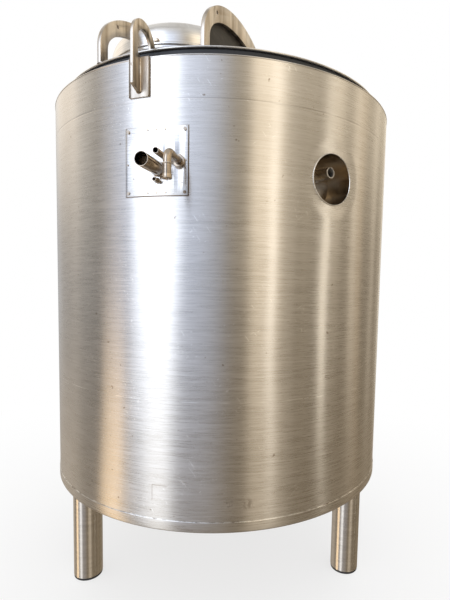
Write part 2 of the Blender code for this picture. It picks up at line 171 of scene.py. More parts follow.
class TankSizes(bpy.types.PropertyGroup):
    """Sizes of the fine shapes that the solids leave out."""

    shell_sides: whole("Shell sides", "Faces round the large turned shapes", 288, 48, 512)
    part_sides: whole("Part sides", "Faces round the small turned shapes", 64, 16, 256)
    clips: whole("Clips", "Clips that hold the domed cover", 6, 1, 24)
    rim_roll: length("Rim roll", "Radius of the rolled upper edge", 0.0022)
    seam_groove: length("Seam groove", "Depth of the seam below the rim", 0.0003)
    plate_edge: length("Plate edge", "Width of the rounded edges of cut plates", 0.0011)
    weld_radius: length("Weld radius", "Radius of the weld beads", 0.0026)
    ripple_pitch: length("Ripple pitch", "Distance between two ripples of a weld", 0.0045)
    screw_radius: length("Screw radius", "Radius of the four corner screw heads", 0.0046)
    rivet_radius: length("Rivet radius", "Radius of the small rivets between them", 0.0024)
    weld_ripple: FloatProperty(
        name="Weld ripple", description="How far a bead swells and thins along its run", default=0.22
    )


class TankColours(bpy.types.PropertyGroup):
    """Colours of the finishes."""

    steel: colour("Steel", "Brushed sheet", (0.60, 0.575, 0.545))
    steel_shade: colour("Steel shade", "Grain lines in the sheet", (0.47, 0.445, 0.41))
    polished: colour("Polished steel", "Dome, ring and lid", (0.66, 0.64, 0.61))
    plate: colour("Cut plate", "Lugs and arches", (0.56, 0.50, 0.43))
    plate_shade: colour("Cut plate shade", "Streaks on the cut plates", (0.24, 0.195, 0.145))
    pipe: colour("Pipe", "Pipes in the panel", (0.44, 0.365, 0.285))
    # Darker and browner than the polished steel, inside the recess and on the inner vessel
    well: colour("Well", "Stained steel inside the recess", (0.48, 0.41, 0.32))
    weld: colour("Weld", "Heat-tinted weld metal", (0.42, 0.34, 0.25))
    # Used for dirt, and also for the painted shadow beside the connection panel
    grime_and_shadow: colour("Grime", "Brown film round joints", (0.16, 0.11, 0.065))
    bare: colour("Bare metal", "Scratches down to bright steel", (0.87, 0.86, 0.83))
    # Painted shade: near-black colour of the sheet behind the right arch's opening
    backing: colour("Backing", "Dark sheet behind the right arch", (0.008, 0.006, 0.004))
    rubber: colour("Rubber", "Seal and feet", (0.012, 0.013, 0.016))
    dust: colour("Dust", "Bloom on the rubber", (0.10, 0.10, 0.105))


def outward(azimuth):
    """The level direction away from the tank's axis."""
    return Vector((math.sin(azimuth), -math.cos(azimuth), 0.0))


def sideways(azimuth):
    """The level direction to the right of that one, seen from outside."""
    return Vector((math.cos(azimuth), math.sin(azimuth), 0.0))


def arc(centre, radii, start, end, count):
    """Points of an elliptic arc between two angles in degrees."""
    turns = (math.radians(start + (end - start) * step / count) for step in range(count + 1))
    return [(centre[0] + radii[0] * math.cos(t), centre[1] + radii[1] * math.sin(t)) for t in turns]


def level_ring(centre, radius, count):
    """Points of a level circle."""
    return [centre + Vector((x, y, 0.0)) for x, y in arc((0.0, 0.0), (radius, radius), 0, 360, count)]


def arithmetic(operation, swapped=False):
    """One of Number's methods."""
    def method(self, other):
        return self.bench.maths(operation, *((other, self) if swapped else (self, other)))
    return method


class Number:
    """A shader value that plain arithmetic works on."""

    __add__ = __radd__ = arithmetic("ADD")
    __mul__ = __rmul__ = arithmetic("MULTIPLY")
    __sub__ = arithmetic("SUBTRACT")
    __rsub__ = arithmetic("SUBTRACT", swapped=True)

    def __init__(self, bench, socket):
        self.bench = bench
        self.socket = socket

    def __abs__(self):
        return self.bench.maths("ABSOLUTE", self)


class Bench:
    """Adds nodes to one material or world."""

    def __init__(self, owner):
        owner.use_nodes = True
        self.owner = owner
        self.tree = owner.node_tree
        self.tree.nodes.clear()

    def node(self, kind, settings, sockets, output=0):
        """One node: its settings first, then the values or links of its sockets."""
        made = self.tree.nodes.new(kind)
        for name, value in settings.items():
            setattr(made, name, value)
        for name, value in sockets.items():
            source = value.socket if isinstance(value, Number) else value
            if isinstance(source, bpy.types.NodeSocket):
                self.tree.links.new(source, made.inputs[name])
            else:
                made.inputs[name].default_value = source
        return made.outputs[output] if made.outputs else None

    def maths(self, operation, *values):
        return Number(self, self.node("ShaderNodeMath", {"operation": operation}, dict(enumerate(values))))

    def vector(self, operation, *values, output=0):
        return self.node("ShaderNodeVectorMath", {"operation": operation}, dict(enumerate(values)), output)

    def reading(self, operation, *values):
        """A Vector Math operation whose answer is a number."""
        return Number(self, self.vector(operation, *values, output="Value"))

    def larger(self, first, second):
        return self.maths("MAXIMUM", first, second)

    def step(self, value, start, end):
        """0 before start and 1 after end, with a smooth rise between them."""
        sockets = {"Value": value, "From Min": start, "From Max": end}
        return Number(self, self.node("ShaderNodeMapRange", {"interpolation_type": "SMOOTHSTEP"}, sockets))

    def line(self, distance, core, edge):
        """1 on a line and 0 off it, from the distance to it."""
        return 1 - self.step(abs(distance), core, edge)

    def noise(self, point, stretch, detail=2.0, roughness=0.5):
        """Noise on a point that is stretched first."""
        scaled = self.vector("MULTIPLY", point, stretch)
        sockets = {"Vector": scaled, "Scale": 1.0, "Detail": detail, "Roughness": roughness}
        return Number(self, self.node("ShaderNodeTexNoise", {}, sockets, "Fac"))

    def even_noise(self, point, scale, detail=2.0, roughness=0.5):
        return self.noise(point, (scale, scale, scale), detail, roughness)

    def mix(self, share, first, second):
        """The first colour turning into the second as the share goes from 0 to 1."""
        first, second = (
            shade if isinstance(shade, bpy.types.NodeSocket) else (*shade, 1.0) for shade in (first, second)
        )
        return self.node("ShaderNodeMix", {"data_type": "RGBA"}, {0: share, 6: first, 7: second}, 2)

    def films(self, base, *films):
        """A colour with films over it, each with the share that it covers."""
        for share, film in films:
            base = self.mix(share, base, film)
        return base

    def parts(self, point):
        """The three coordinates of a point."""
        split = self.node("ShaderNodeSeparateXYZ", {}, {0: point}).node
        return [Number(self, socket) for socket in split.outputs]

    def bump(self, height, **base):
        return self.node("ShaderNodeBump", {}, {"Height": height, "Distance": 1.0, "Strength": 1.0, **base})

    def surface(self, shade, roughness, normal, metal=1.0, stretch=0.0):
        """The material's surface, with highlights stretched across a level grain."""
        shader = self.node("ShaderNodeBsdfPrincipled", {}, {
            "Base Color": shade, "Roughness": roughness, "Normal": normal, "Metallic": metal,
            "Anisotropic": stretch, "Anisotropic Rotation": LEVEL_GRAIN,
        })
        self.node("ShaderNodeOutputMaterial", {}, {"Surface": shader})
        return self.owner


def new_material(name):
    """The bench of a new material, and the point that it shades."""
    bench = Bench(bpy.data.materials.new(name))
    return bench, bench.node("ShaderNodeTexCoord", {}, {}, "Object")


def scratches(bench, point, turn, fine, limit):
    """Thin slanting scratches: noise that is long one way and short the other."""
    slanted = bench.node("ShaderNodeMapping", {"vector_type": "POINT"}, {"Vector": point, "Rotation": turn})
    lines = bench.noise(slanted, (fine, fine, 5.0), 1.0)
    return bench.step(lines, limit, limit + 0.05) * bench.step(bench.even_noise(point, 7.0, 1.0), 0.50, 0.62)


def ring_distance(bench, point, azimuth, height):
    """How far a point lies from the level line that leaves the axis at that azimuth."""
    away = bench.vector("SUBTRACT", point, tuple(AXIS + UP * height))
    return bench.reading("LENGTH", bench.vector("CROSS_PRODUCT", away, tuple(outward(azimuth))))


def spot(bench, point, azimuth, height, size):
    """1 in a soft round patch on the shell and 0 outside it."""
    centre = AXIS + outward(azimuth) * RADIUS + UP * height
    return 1 - bench.step(bench.reading("DISTANCE", point, tuple(centre)), size * 0.3, size)


def square_line(bench, point, azimuth, height, half, core, edge, back):
    """A square line on the shell, and how far across and up from its centre a point lies."""
    away = bench.vector("SUBTRACT", point, tuple(AXIS + outward(azimuth) * RADIUS + UP * height))
    across = bench.reading("DOT_PRODUCT", away, tuple(sideways(azimuth)))
    rise = bench.parts(away)[2]
    front = bench.step(bench.reading("DOT_PRODUCT", away, tuple(outward(azimuth))), back, back + 0.01)
    return bench.line(bench.larger(abs(across), abs(rise)) - half, core, edge) * front, across, rise


def panel_gap_and_shadow(bench, point):
    """The narrow dirty gap round the connection panel, with painted shadow that makes it heaviest on its
    right and below.
    """
    height, half = sum(PANEL_HEIGHTS) / 2, PANEL_SIDE / 2 + 0.0002
    gap, across, rise = square_line(bench, point, PANEL_AZIMUTH, height, half, 0.0006, 0.0022, -0.04)
    # A dark joint all round, plus painted shadow on the right and lower sides
    return gap * (0.35 + bench.step(across - rise, -0.03, 0.05) * 0.6)


def label_trace(bench, point):
    """The corner of an outline that an old square label left low on the front."""
    line, across, rise = square_line(bench, point, LABEL_AZIMUTH, BASE + 0.108, 0.026, 0.0005, 0.0015, -0.03)
    worn = bench.step(bench.even_noise(point, 60.0, 1.0), 0.36, 0.48)
    return line * bench.step(rise - across, 0.002, 0.008) * worn


def grain(bench, point):
    """Level grinding lines of three sizes, about 0.5 on average."""
    fine = bench.noise(point, (20.0, 20.0, 620.0), 2.0, 0.6)
    medium = bench.noise(point, (8.0, 8.0, 240.0), 2.0, 0.6)
    broad = bench.noise(point, (2.2, 2.2, 40.0), 1.0)
    return fine * 0.48 + medium * 0.40 + broad * 0.12


def sheet_steel(name, colours, roughness, stretch, wave):
    """Brushed sheet with level grain, scuffs, a scratch ring, dirt at its seams, a darker lowest edge,
    painted shadow beside the panel and slight waves.
    """
    bench, point = new_material(name)
    height = bench.parts(point)[2]
    lines = bench.step(grain(bench, point), 0.34, 0.66)
    patches = bench.noise(point, (3.0, 3.0, 4.5), 4.0, 0.6)
    slants = bench.larger(
        scratches(bench, point, (0.0, 0.6, 0.3), 330.0, 0.70),
        scratches(bench, point, (0.4, -0.9, 0.0), 300.0, 0.71),
    )
    wobble = bench.noise(point, (3.0, 3.0, 0.0)) * 0.006
    ring = bench.line(height + wobble - (BASE + 0.387), 0.0004, 0.0016)
    broken = bench.step(bench.noise(point, (16.0, 16.0, 0.0)), 0.46, 0.60)
    foot = bench.line(height - (TRAY.high + 0.0008), 0.0005, 0.0020)
    # Darker over the lowest few millimetres, round the pan's lower edge
    under = 1 - bench.step(height, BASE + 0.0015, BASE + 0.0045)
    dirt = bench.noise(point, (34.0, 34.0, 50.0), 3.0, 0.7)
    seams = bench.larger(
        bench.line(height - UPPER_SEAM, 0.001, 0.004) * 0.05, foot * bench.step(dirt, 0.44, 0.36) * 0.5
    )
    flecks = bench.step(bench.noise(point, (55.0, 55.0, 60.0)), 0.735, 0.775)
    hand = bench.larger(
        spot(bench, point, math.radians(2.4), BASE + 0.088, 0.018),
        spot(bench, point, math.radians(7.2), BASE + 0.084, 0.024),
    )
    blots = hand * bench.step(bench.even_noise(point, 90.0), 0.46, 0.58) * 0.5
    shade = bench.films(
        colours.steel_shade,
        (lines, colours.steel),
        (bench.step(patches, 0.48, 0.72) * 0.22, colours.steel_shade),
        (slants * 0.55, colours.bare),
        (ring * broken * 0.6, colours.bare),
        (foot * bench.step(dirt, 0.46, 0.56) * 0.6, colours.bare),
        (bench.larger(seams, under * 0.75), colours.grime_and_shadow),
        (flecks * 0.65, colours.grime_and_shadow),
        (blots, colours.grime_and_shadow),
        (label_trace(bench, point) * 0.55, colours.grime_and_shadow),
        # The panel's dark gap with its painted shadow
        (panel_gap_and_shadow(bench, point), colours.grime_and_shadow),
    )
    recess = ring_distance(bench, point, RECESS_AZIMUTH, RECESS_Z)
    dimple = 1 - bench.step(recess, RECESS_RADIUS, RECESS_RADIUS + 0.045)
    long_waves = bench.noise(point, (2.6, 2.6, 1.7), 1.0) * 0.0042
    short_waves = bench.noise(point, (7.0, 7.0, 3.2), 1.0) * 0.0006
    wavy = bench.bump((long_waves + short_waves) * wave - dimple * 0.0016)
    scored = bench.bump(lines * 0.00002 - slants * 0.00004, Normal=wavy)
    rough = roughness + lines * 0.05 + blots * 0.25 + patches * 0.05
    return bench.surface(shade, rough, scored, stretch=stretch)


def turned_steel(name, colours, tint, axis, roughness):
    """Satin steel with rings of grain round an upright axis."""
    bench, point = new_material(name)
    x, y, z = bench.parts(point)
    away = bench.vector("MULTIPLY", bench.vector("SUBTRACT", point, tuple(axis)), (1.0, 1.0, 0.0))
    across = bench.reading("LENGTH", away) * 260.0 + z * 260.0
    rings = bench.node("ShaderNodeCombineXYZ", {}, {0: across, 1: x * 5.0, 2: y * 5.0})
    lines = bench.even_noise(rings, 1.0, 2.0, 0.6)
    clouds = bench.even_noise(point, 9.0, 3.0, 0.6)
    slants = scratches(bench, point, (0.7, 0.4, 0.2), 260.0, 0.70)
    shade = bench.films(
        [channel * 0.78 for channel in tint],
        (bench.step(lines, 0.30, 0.70), tint),
        (bench.step(clouds, 0.5, 0.75) * 0.30, colours.plate_shade),
        (slants * 0.5, colours.bare),
    )
    scored = bench.bump(lines * 0.00002 - slants * 0.00004)
    return bench.surface(shade, roughness + lines * 0.10 + clouds * 0.08, scored, stretch=0.6)


def plate_steel(name, colours, streaks, roughness, warmth):
    """Cut plate with rolling streaks, small dings and a brown film that wears off in patches."""
    bench, point = new_material(name)
    lines = bench.noise(point, streaks, 3.0, 0.6)
    patches = bench.noise(point, (14.0, 14.0, 9.0), 3.0, 0.6)
    dings = bench.step(bench.noise(point, (70.0, 70.0, 55.0)), 0.70, 0.76)
    slants = scratches(bench, point, (0.5, 0.9, 0.4), 300.0, 0.69)
    shade = bench.films(
        colours.plate_shade,
        (bench.step(lines, 0.32, 0.66), colours.plate),
        (bench.step(patches, 0.45, 0.70) * (1 - warmth), colours.steel_shade),
        (dings * 0.7, colours.grime_and_shadow),
        (slants * 0.6, colours.bare),
    )
    scored = bench.bump(lines * 0.00005 - dings * 0.0002 - slants * 0.00005)
    return bench.surface(shade, roughness + lines * 0.12 + patches * 0.10, scored)


def tube_steel(name, colours, tint, roughness):
    """Drawn tube with lines round it, scuffs and dulled patches."""
    bench, point = new_material(name)
    lines = bench.noise(point, (16.0, 16.0, 520.0), 2.0, 0.6)
    patches = bench.noise(point, (12.0, 12.0, 16.0), 4.0, 0.6)
    slants = scratches(bench, point, (0.3, 1.1, 0.1), 280.0, 0.70)
    darker = [channel * 0.82 for channel in tint]
    shade = bench.films(
        darker,
        (bench.step(lines, 0.30, 0.70), tint),
        (bench.step(patches, 0.5, 0.72) * 0.25, darker),
        (slants * 0.5, colours.bare),
    )
    scored = bench.bump(lines * 0.000008 - slants * 0.00004)
    return bench.surface(shade, roughness + lines * 0.03 + patches * 0.06, scored, stretch=0.7)


def weld_steel(colours):
    """Weld metal: straw and brown heat tints over a rough, rippled skin."""
    bench, point = new_material("weld_bead")
    heat = bench.even_noise(point, 60.0, 2.0, 0.6)
    skin = bench.even_noise(point, 420.0, 3.0, 0.6)
    shade = bench.films(
        colours.weld,
        (bench.step(heat, 0.36, 0.64), colours.polished),
        (bench.step(skin, 0.60, 0.72) * 0.6, colours.grime_and_shadow),
    )
    return bench.surface(shade, 0.28 + skin * 0.25, bench.bump(skin * 0.0003))


def shade_sheet_material(colours):
    """Painted shade: a near-black brown sheet, darkest under the arch's crown, with brown blotches and a dull
    sheen.
    """
    bench, point = new_material("painted_shade_sheet")
    film = bench.noise(point, (12.0, 12.0, 40.0), 3.0, 0.6)
    # Painted shade: the sheet is a little lighter below the arch's crown
    low = 1 - bench.step(bench.parts(point)[2] + film * 0.03, RIM + 0.07, RIM + 0.15)
    blotches = bench.noise(point, (45.0, 45.0, 60.0))
    shade = bench.films(
        colours.backing,
        (low, (0.026, 0.021, 0.016)),
        (bench.step(blotches, 0.58, 0.72) * 0.12, colours.grime_and_shadow),
    )
    return bench.surface(shade, 0.42 + film * 0.2, bench.bump(film * 0.0004), metal=0.35)


def rubber(colours):
    """Black rubber with a dusty bloom and a moulded grain."""
    bench, point = new_material("seal_rubber")
    dust = bench.noise(point, (18.0, 18.0, 60.0), 4.0, 0.65)
    shade = bench.mix(bench.step(dust, 0.52, 0.80) * 0.20, colours.rubber, colours.dust)
    pores = bench.bump(bench.even_noise(point, 700.0) * 0.00012)
    return bench.surface(shade, 0.42 + dust * 0.25, pores, metal=0.0)


FINISHES = {}
# The part's material that each finish usually stands for
SLOTS = {
    **dict.fromkeys(("sheet", "panel", "leg"), "brushed_steel"),
    **dict.fromkeys(("lid", "dome", "well"), "polished_steel"),
    **dict.fromkeys(("arch", "lug", "pipe", "weld"), "lug_steel"),
    "backing": "dark_steel", "rubber": "black_rubber",
}


def make_finishes(colours):
    """Every material of the tank, by name."""
    FINISHES.update({
        "sheet": sheet_steel("brushed_sheet", colours, 0.235, 0.92, 1.0),
        "panel": sheet_steel("panel_sheet", colours, 0.16, 0.45, 0.6),
        "lid": turned_steel("lid_satin", colours, colours.polished, DOME.axis, 0.26),
        "dome": turned_steel("dome_satin", colours, colours.polished, DOME.axis, 0.20),
        "well": turned_steel("well_dark_brown", colours, colours.well, AXIS, 0.13),
        "arch": plate_steel("arch_plate", colours, (34.0, 34.0, 3.0), 0.24, 0.55),
        "lug": plate_steel("lug_plate", colours, (55.0, 55.0, 5.0), 0.22, 0.70),
        "pipe": tube_steel("pipe_steel", colours, colours.pipe, 0.11),
        "leg": tube_steel("leg_steel", colours, colours.steel, 0.20),
        "weld": weld_steel(colours),
        # The backing finish is painted shade for the right arch's opening
        "backing": shade_sheet_material(colours),
        "rubber": rubber(colours),
    })


def leave_edit():
    bpy.ops.object.mode_set(mode="OBJECT")


def start_clean():
    """Object mode with nothing selected."""
    if bpy.context.object is not None and bpy.context.object.mode != "OBJECT":
        leave_edit()
    bpy.ops.object.select_all(action="DESELECT")


def activate(*pieces):
    """Selects the pieces, with the first of them active."""
    start_clean()
    for piece in pieces:
        piece.select_set(True)
    bpy.context.view_layer.objects.active = pieces[0]


def draw_line(points):
    """Edit mode with a line that is extruded from point to point, all selected."""
    start_clean()
    bpy.ops.mesh.primitive_plane_add(size=0.01, location=points[0])
    bpy.ops.object.mode_set(mode="EDIT")
    bpy.ops.mesh.select_all(action="SELECT")
    bpy.ops.mesh.merge(type="CENTER")
    for here, there in zip(points, points[1:]):
        bpy.ops.mesh.extrude_region_move(TRANSFORM_OT_translate={"value": there - here})
    bpy.ops.mesh.select_all(action="SELECT")


def draw_face(points):
    """Edit mode with one face inside an outline."""
    draw_line([*points, points[0]])
    bpy.ops.mesh.remove_doubles(threshold=MERGE)
    bpy.ops.mesh.edge_face_add()


def close_mesh():
    """Merges what touches, turns all faces outwards and leaves edit mode."""
    bpy.ops.mesh.select_all(action="SELECT")
    bpy.ops.mesh.remove_doubles(threshold=MERGE)
    bpy.ops.mesh.normals_make_consistent(inside=False)
    leave_edit()
    return bpy.context.object


def apply_place():
    bpy.ops.object.transform_apply(location=True, rotation=True, scale=True)


def finish_piece(name, finish, *nodes, slot=None, crease=35.0):
    """Puts the active object's place in its mesh, smooths and paints it, and ties it to the frame."""
    piece = bpy.context.object
    piece.name = piece.data.name = name
    apply_place()
    bpy.ops.object.shade_smooth_by_angle(angle=math.radians(crease))
    piece.data.materials.clear()
    piece.data.materials.append(FINISHES[finish])
    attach(piece, "root")
    if nodes:
        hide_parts(*nodes)


def turn_profile(profile, axis, sides):
    """A profile of (radius, height) points, closed and spun round an upright axis."""
    draw_line([axis + Vector((r, 0.0, z)) for r, z in [*profile, profile[0]]])
    bpy.ops.mesh.spin(steps=sides, angle=math.tau, center=axis, axis=UP)
    return close_mesh()


def use_modifier(kind, **settings):
    """Adds a modifier to the active object and applies it."""
    modifier = bpy.context.object.modifiers.new(kind.title(), kind)
    for key, value in settings.items():
        setattr(modifier, key, value)
    bpy.ops.object.modifier_apply(modifier=modifier.name)


def cut_with_active(piece, operation="DIFFERENCE"):
    """Cuts the piece with the active object, which is then removed."""
    cutter = bpy.context.object
    activate(piece)
    use_modifier("BOOLEAN", operation=operation, object=cutter, solver="EXACT")
    bpy.data.objects.remove(cutter)


def add_cylinder(sides, radius, depth, place, turn=(0.0, 0.0, 0.0)):
    start_clean()
    bpy.ops.mesh.primitive_cylinder_add(
        vertices=sides, radius=radius, depth=depth, location=place, rotation=turn
    )
    return bpy.context.object


def bore(piece, radius, azimuth, face, reach, height, sides=64):
    """A level hole through the piece, towards the tank's axis."""
    place = AXIS + outward(azimuth) * face + UP * height
    add_cylinder(sides, radius, 2 * reach, place, (math.pi / 2, 0.0, azimuth))
    cut_with_active(piece)


def plate(outline, origin, azimuth, thickness):
    """A flat plate on edge: its outline is (outwards, up) from the origin."""
    side = sideways(azimuth)
    draw_face([origin + outward(azimuth) * u + UP * v - side * thickness / 2 for u, v in outline])
    bpy.ops.mesh.extrude_region_move(TRANSFORM_OT_translate={"value": side * thickness})
    return close_mesh()


def bent_plate(azimuth, width, profile, steps):
    """A profile in the (radius, height) plane, swept round the tank's axis over a width."""
    half = width / 2 / RADIUS
    draw_face([AXIS + outward(azimuth + half) * r + UP * z for r, z in profile])
    bpy.ops.mesh.spin(steps=steps, angle=2 * half, center=AXIS, axis=UP)
    return close_mesh()


def strip(inner, outer, low, high):
    """The four corners of a rectangle in the (radius, height) plane."""
    return [(inner, low), (outer, low), (outer, high), (inner, high)]


def soften(width, segments=2, angle=30.0):
    use_modifier(
        "BEVEL", width=width, segments=segments, limit_method="ANGLE", angle_limit=math.radians(angle),
        use_clamp_overlap=True,
    )


def along(points, pitch):
    """Points at an even pitch along a line through the given points."""
    out = [points[0]]
    for here, there in zip(points, points[1:]):
        count = max(1, round((there - here).length / pitch))
        out += [here.lerp(there, step / count) for step in range(1, count + 1)]
    return out


def sweep(points, radius, resolution, caps=False, ripple=0.0):
    """A round skin along a line, which may swell and thin from point to point."""
    draw_line(points)
    bpy.ops.mesh.remove_doubles(threshold=MERGE)
    leave_edit()
    bpy.ops.object.convert(target="CURVE")
    curve = bpy.context.object.data
    curve.bevel_depth, curve.bevel_resolution, curve.use_fill_caps = radius, resolution, caps
    for spline in curve.splines:
        for index, place in enumerate(spline.points):
            place.radius = 1.0 + ripple * (-1) ** index / 2
    bpy.ops.object.convert(target="MESH")
    bpy.ops.object.mode_set(mode="EDIT")
    return close_mesh()


def bead(points, radius, sizes):
    """A weld bead that swells and thins along its run."""
    return sweep(along(points, sizes.ripple_pitch / 2), radius, 2, True, sizes.weld_ripple)


def join_all(pieces):
    """Joins pieces into the first of them."""
    activate(*pieces)
    bpy.ops.object.join()
    return bpy.context.object


def pipe(points, radius, wall):
    """A bent or straight open pipe with its lips rounded."""
    sweep(points, radius, 9)
    use_modifier("SOLIDIFY", thickness=wall, offset=-1.0, use_even_offset=True)
    soften(wall * 0.3, 2, 50.0)


def level_line(azimuth, height, *distances):
    """Points straight out from the tank's axis."""
    return [AXIS + outward(azimuth) * distance + UP * height for distance in distances]


def circle_on_shell(azimuth, height, radius, face, count=48):
    """Points of a round line that lies on the tank's own curve, at a distance from its axis."""
    points = []
    for across, rise in arc((0.0, 0.0), (radius, radius), 0, 360, count):
        depth = math.sqrt(face * face - across * across)
        points.append(AXIS + outward(azimuth) * depth + sideways(azimuth) * across + UP * (height + rise))
    return points


class Piece:
    """What the operators of the pieces share."""

    def execute(self, context):
        self.build(context.scene.tank_sizes)
        return {"FINISHED"}


class TANK_OT_cladding(Piece, bpy.types.Operator):
    """Model the outer shell with its rolled rim, its upper seam and the round hole"""

    bl_idname = "tank.cladding"
    bl_label = "Cladding"

    def build(self, sizes):
        roll, groove, rows = sizes.rim_roll, RADIUS - sizes.seam_groove, 26
        below = UPPER_SEAM - 0.004
        profile = [(RADIUS - SHEET, CLAD.low), (RADIUS - SHEET, RIM - 2 * roll)]
        profile += arc((RADIUS - roll / 2, RIM - roll), (roll, roll), 180, -60, 10)
        profile += [
            (RADIUS, RIM - 3 * roll), (RADIUS, RIM - 4 * roll),
            (RADIUS, UPPER_SEAM + 0.004), (RADIUS, UPPER_SEAM + 0.002),
            (groove, UPPER_SEAM + 0.001), (groove, UPPER_SEAM - 0.001), (RADIUS, UPPER_SEAM - 0.002),
        ]
        profile += [(RADIUS, below + (CLAD.low - below) * row / rows) for row in range(rows + 1)]
        shell = turn_profile(profile, AXIS, sizes.shell_sides)
        bore(shell, RECESS_RADIUS, RECESS_AZIMUTH, RADIUS, 0.08, RECESS_Z, 96)
        finish_piece("cladding_shell", "sheet", "cladding", crease=25.0)
        spine = AXIS + outward(REAR) * (RADIUS - BEAD_LIFT)
        bead([spine + UP * (CLAD.low + 0.04), spine + UP * below], FINE_BEAD, sizes)
        finish_piece("rear_weld", "weld", slot="brushed_steel")


class TANK_OT_base(Piece, bpy.types.Operator):
    """Model the base pan whose lip laps the cladding"""

    bl_idname = "tank.base"
    bl_label = "Base pan"

    def build(self, sizes):
        outer, lip, inside, edge = TRAY.radius, RADIUS + GAP, BASE + SHEET, 0.004
        profile = [(lip, TRAY.high), (outer - 0.0004, TRAY.high), (outer, TRAY.high - 0.0006)]
        profile += arc((outer - edge, BASE + edge), (edge, edge), 0, -90, EDGE_STEPS)
        profile += [(0.0, BASE), (0.0, inside), (lip - 0.004, inside), (lip, inside + 0.003)]
        turn_profile(profile, AXIS, sizes.shell_sides)
        finish_piece("base_pan", "sheet", "base_tray", crease=25.0)


class TANK_OT_top(Piece, bpy.types.Operator):
    """Model the cover ring, the dark seal and the lid"""

    bl_idname = "tank.top"
    bl_label = "Top"

    def build(self, sizes):
        low, high, outer = COVER.low, COVER.high, COVER.radius
        turn_profile([
            (COVER_INNER, low), (COVER_INNER, high - 0.001), (COVER_INNER + 0.001, high),
            (outer - 0.003, high), (outer, high + 0.003), (outer, low),
        ], AXIS, sizes.shell_sides)
        finish_piece("cover_ledge", "lid", "cover_ring", slot="brushed_steel")
        inner, low, high, outer = SEAL.radius - SEAL_WIDTH, SEAL.low, SEAL.high, SEAL.radius
        edge, waist = (0.004, 0.005), outer - 0.0016
        profile = [(inner, low), (inner, high)]
        profile += arc((outer - edge[0], high - edge[1]), edge, 90, 0, EDGE_STEPS)
        profile += [(waist, high - (high - low) * 0.40), (waist, high - (high - low) * 0.46)]
        profile += arc((outer - edge[0], low + edge[1]), edge, 0, -90, EDGE_STEPS)
        turn_profile(profile, AXIS, sizes.shell_sides)
        finish_piece("seal_strip", "rubber", "seal_band", crease=40.0)
        self.lid(sizes)

    def lid(self, sizes):
        """A disc with a rounded edge, cut for the manway."""
        half = (LID.high - LID.low) / 2
        rounded = arc((LID.radius - half, LID.low + half), (half, half), 90, -90, 8)
        lid = turn_profile([(0.0, LID.high), *rounded, (0.0, LID.low)], AXIS, sizes.shell_sides)
        add_cylinder(96, NECK.radius - NECK_WALL, 0.1, DOME.axis + UP * LID.high)
        cut_with_active(lid)
        finish_piece("lid_sheet", "lid", "lid_plate")


def dome_profile(radius, rise):
    """From the crown of the domed cover to its foot, as a quarter of a superellipse."""
    points = [(0.0, DOME.low + rise)]
    for step in range(1, DOME_STEPS):
        turn = math.radians(90 - step * 90 / DOME_STEPS)
        across, up = (part ** (2 / DOME_POWER) for part in (math.cos(turn), math.sin(turn)))
        points.append((radius * across, DOME.low + rise * up))
    return [*points, (radius, DOME.low)]


class TANK_OT_manway(Piece, bpy.types.Operator):
    """Model the manway neck, its clamp ring, the domed cover and the clips"""

    bl_idname = "tank.manway"
    bl_label = "Manway"

    def build(self, sizes):
        sides, neck, inner = 2 * sizes.part_sides, NECK.radius, NECK.radius - NECK_WALL
        turn_profile([
            (inner, NECK.low), (inner, NECK.high), (neck, NECK.high), (neck, NECK.low + 0.004),
            (neck + 0.003, NECK.low),
        ], DOME.axis, sides)
        finish_piece("manway_collar", "dome", "manway_neck")
        ring, low, high, edge, groove = FLANGE.radius, FLANGE.low, FLANGE.high, 0.003, FLANGE.radius - 0.006
        profile = [(inner, low), (inner, high), (ring - edge, high)]
        profile += arc((ring - edge, high - edge), (edge, edge), 90, 0, PART_STEPS)
        profile += [(ring, low + 0.013), (groove, low + 0.011), (groove, low + 0.009), (ring, low + 0.007)]
        profile += arc((ring - edge, low + edge), (edge, edge), 0, -90, PART_STEPS)
        turn_profile(profile, DOME.axis, sides)
        finish_piece("manway_clamp_ring", "dome", "manway_flange")
        rise = DOME.high - DOME.low
        lining = dome_profile(DOME.radius - DOME_SHELL, rise - DOME_SHELL)
        turn_profile([*dome_profile(DOME.radius, rise), *lining[::-1]], DOME.axis, sides)
        finish_piece("manway_cover", "dome", "manway_dome")
        self.clips(sizes.clips)

    def clips(self, count):
        """Bent clips with a bolt head, evenly spaced on the clamp ring."""
        width, length, tall = CLIP_SIZE
        clips = []
        for index in range(count):
            azimuth = math.tau * index / count + CLIP_AZIMUTH
            place = DOME.axis + outward(azimuth) * (FLANGE.radius - length / 2 + 0.003)
            place += UP * (FLANGE.high + tall / 2 - 0.001)
            start_clean()
            bpy.ops.mesh.primitive_cube_add(size=1.0, location=place, rotation=(0.0, 0.0, azimuth))
            block = bpy.context.object
            block.scale = CLIP_SIZE
            bpy.ops.object.transform_apply(location=False, rotation=False, scale=True)
            soften(0.0022, 3)
            bolt = add_cylinder(6, 0.0045, 0.004, place + UP * (tall / 2 + 0.0018))
            soften(0.0005)
            clips.append(join_all([block, bolt]))
            apply_place()
        join_all(clips)
        finish_piece("cover_clips", "pipe")


